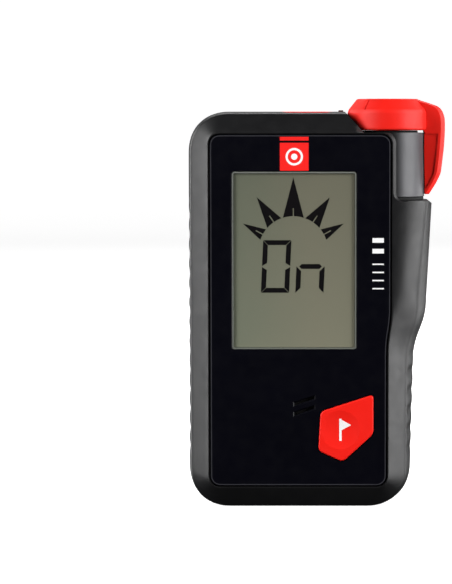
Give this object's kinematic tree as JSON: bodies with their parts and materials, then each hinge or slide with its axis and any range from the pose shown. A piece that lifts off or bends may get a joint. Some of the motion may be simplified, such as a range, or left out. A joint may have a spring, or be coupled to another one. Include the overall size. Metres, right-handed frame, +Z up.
{
  "type": "avalanche transceiver",
  "caption": "Hand-held avalanche rescue transceiver: two-shell case with display, mark button, rotary mode switch with drop lever, seam band and battery door.",
  "frame": {"origin": "middle of the base that the device stands on", "axes": "+X to the right across the front, +Y from front to back, +Z up; the display faces -Y"},
  "size_m": [0.07, 0.023, 0.111],
  "materials": {
    "case_plastic": "fine moulded grain, satin",
    "red_plastic": "fine moulded grain, satin",
    "red_rubber": "satin",
    "black_gloss_plastic": "back-printed sheet, low gloss",
    "clear_window": "clear",
    "grey_plastic": "satin",
    "lcd_glass": "grey-green reflective display",
    "white_plastic": "satin",
    "black_plastic": "satin",
    "black_rubber": "matt",
    "board": "solder mask",
    "steel": "zinc plated, satin",
    "brass": "satin",
    "copper": "enamelled copper wire",
    "ferrite": "sintered, matt",
    "cell_jacket": "printed jacket"
  },
  "bodies": {
    "case": {"front_shell": "case_plastic", "rear_shell": "case_plastic", "seam_band": "red_rubber", "faceplate": "black_gloss_plastic", "display_window": "clear_window", "top_insert": "red_plastic", "switch_index": "grey_plastic", "rear_label": "grey_plastic", "lcd_panel": "lcd_glass", "lcd_backlight": "white_plastic", "lcd_frame": "black_plastic", "zebra_strip": "black_rubber", "main_board": "board", "processor_shield": "steel", "radio_module": "grey_plastic", "vibration_motor": "steel", "speaker": "grey_plastic", "speaker_membrane": "white_plastic", "button_mat": "black_rubber", "mark_switch": "steel", "battery_cell": "cell_jacket", "battery_spring": "steel", "battery_contact": "brass", "shaft_bush": "brass", "shaft_o_ring": "black_rubber", "detent_spring": "steel", "detent_ball": "steel", "switch_sensor_board": "board", "antenna_x_core": "ferrite", "antenna_x_coil": "copper", "antenna_y_core": "ferrite", "antenna_y_coil": "copper", "antenna_z_core": "ferrite", "antenna_z_coil": "copper", "antenna_holder_lower": "black_plastic", "antenna_holder_upper": "black_plastic", "case_screw_1": "steel", "case_screw_2": "steel", "case_screw_3": "steel", "case_screw_4": "steel", "case_screw_5": "steel"},
    "mode_switch": {"switch_cap": "red_plastic", "switch_cap_disc": "red_plastic", "switch_shaft": "steel", "switch_screw": "steel", "shaft_clip": "steel", "detent_wheel": "grey_plastic", "switch_magnet": "steel"},
    "mark_button_body": {"mark_button": "red_plastic"},
    "battery_door_body": {"battery_door": "case_plastic", "battery_door_seal": "black_rubber"},
    "door_screw_body": {"battery_door_screw": "steel"}
  },
  "joints": [
    {"name": "mode_switch_turn", "type": "hinge", "parent": "case", "child": "mode_switch", "pos_m": [0.0193, 0, 0.1], "axis": [0, 0, 1], "range_deg": [-60, 60]},
    {"name": "mark_button_press", "type": "slide", "parent": "case", "child": "mark_button_body", "axis": [0, 1, 0], "range_m": [0, 0.0005], "stiffness_N_per_m": 1200},
    {"name": "battery_door_lift", "type": "slide", "parent": "case", "child": "battery_door_body", "axis": [0, 1, 0], "range_m": [0, 0.03]},
    {"name": "door_screw_turn", "type": "hinge", "parent": "battery_door_body", "child": "door_screw_body", "pos_m": [-0.0046, 0.0108, 0.0261], "axis": [0, 1, 0], "range_deg": [0, 90]}
  ]
}
